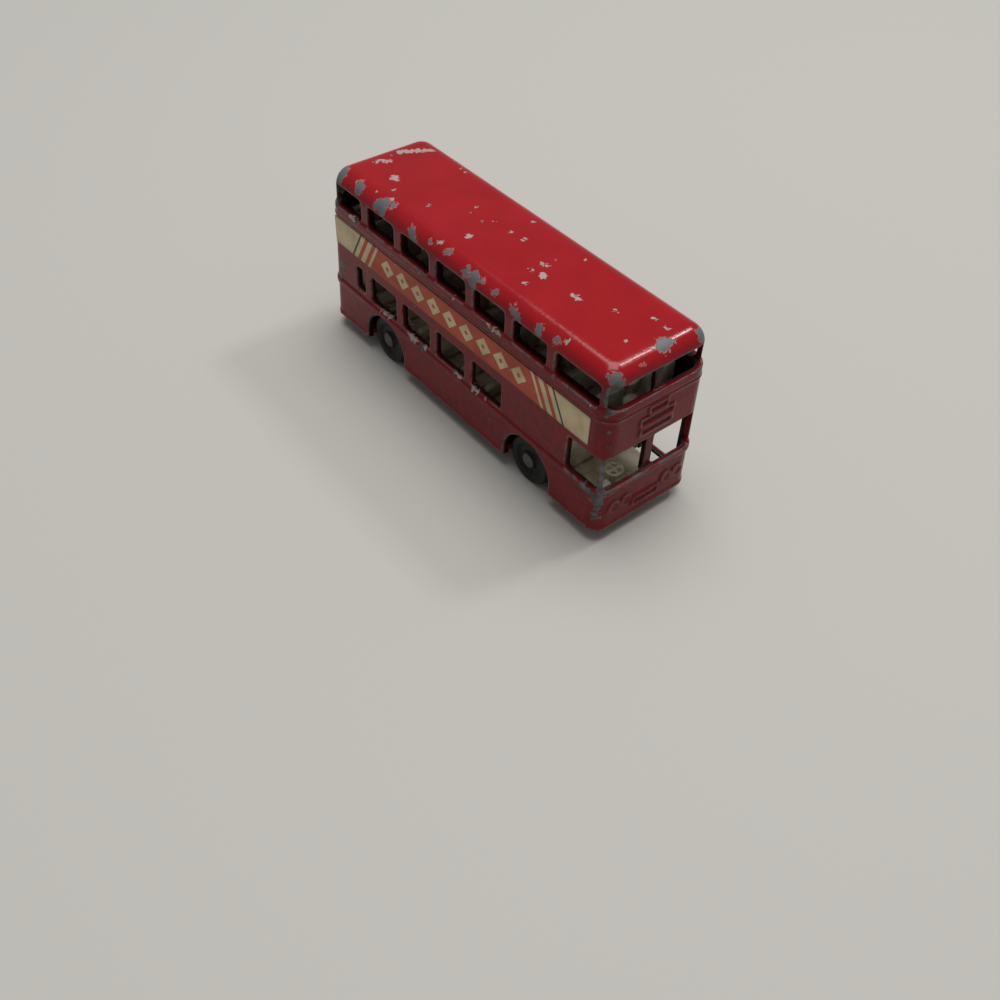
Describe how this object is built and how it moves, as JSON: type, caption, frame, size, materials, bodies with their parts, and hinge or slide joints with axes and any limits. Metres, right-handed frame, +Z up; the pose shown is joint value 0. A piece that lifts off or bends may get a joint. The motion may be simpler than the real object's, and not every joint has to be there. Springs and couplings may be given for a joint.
{
  "type": "toy bus",
  "caption": "Pocket die-cast double-decker bus with open windows, seats on both decks, an open front doorway and free-rolling wheels on riveted axles.",
  "frame": {"origin": "on the ground under the middle of the bus", "axes": "+X to the front, +Y to the nearside with the doorway, +Z up"},
  "size_m": [0.0745, 0.0214, 0.0333],
  "materials": {
    "red_enamel": "gloss enamel on zinc casting, worn to bare metal at edges",
    "base_enamel": "gloss enamel on zinc casting",
    "cream_plastic": "moulded, aged",
    "axle_steel": "dull drawn wire with pressed heads",
    "black_plastic": "moulded",
    "label_paper": "printed and aged"
  },
  "bodies": {
    "chassis": {"body_casting": "red_enamel", "base_plate": "base_enamel", "upper_saloon": "cream_plastic", "lower_saloon": "cream_plastic", "offside_label": "label_paper", "nearside_label": "label_paper"},
    "front_axle_body": {"front_axle": "axle_steel"},
    "rear_axle_body": {"rear_axle": "axle_steel"},
    "front_offside_wheel_body": {"front_offside_wheel": "black_plastic"},
    "front_nearside_wheel_body": {"front_nearside_wheel": "black_plastic"},
    "rear_offside_wheel_body": {"rear_offside_wheel": "black_plastic"},
    "rear_nearside_wheel_body": {"rear_nearside_wheel": "black_plastic"}
  },
  "joints": [
    {"name": "front_axle_turn", "type": "hinge", "parent": "chassis", "child": "front_axle_body", "pos_m": [0.01945, 0, 0.00455], "axis": [0, 1, 0], "continuous": true},
    {"name": "rear_axle_turn", "type": "hinge", "parent": "chassis", "child": "rear_axle_body", "pos_m": [-0.02045, 0, 0.00455], "axis": [0, 1, 0], "continuous": true},
    {"name": "front_offside_wheel_turn", "type": "hinge", "parent": "front_axle_body", "child": "front_offside_wheel_body", "pos_m": [0.01945, -0.008, 0.00455], "axis": [0, 1, 0], "continuous": true},
    {"name": "front_nearside_wheel_turn", "type": "hinge", "parent": "front_axle_body", "child": "front_nearside_wheel_body", "pos_m": [0.01945, 0.008, 0.00455], "axis": [0, 1, 0], "continuous": true},
    {"name": "rear_offside_wheel_turn", "type": "hinge", "parent": "rear_axle_body", "child": "rear_offside_wheel_body", "pos_m": [-0.02045, -0.008, 0.00455], "axis": [0, 1, 0], "continuous": true},
    {"name": "rear_nearside_wheel_turn", "type": "hinge", "parent": "rear_axle_body", "child": "rear_nearside_wheel_body", "pos_m": [-0.02045, 0.008, 0.00455], "axis": [0, 1, 0], "continuous": true}
  ]
}
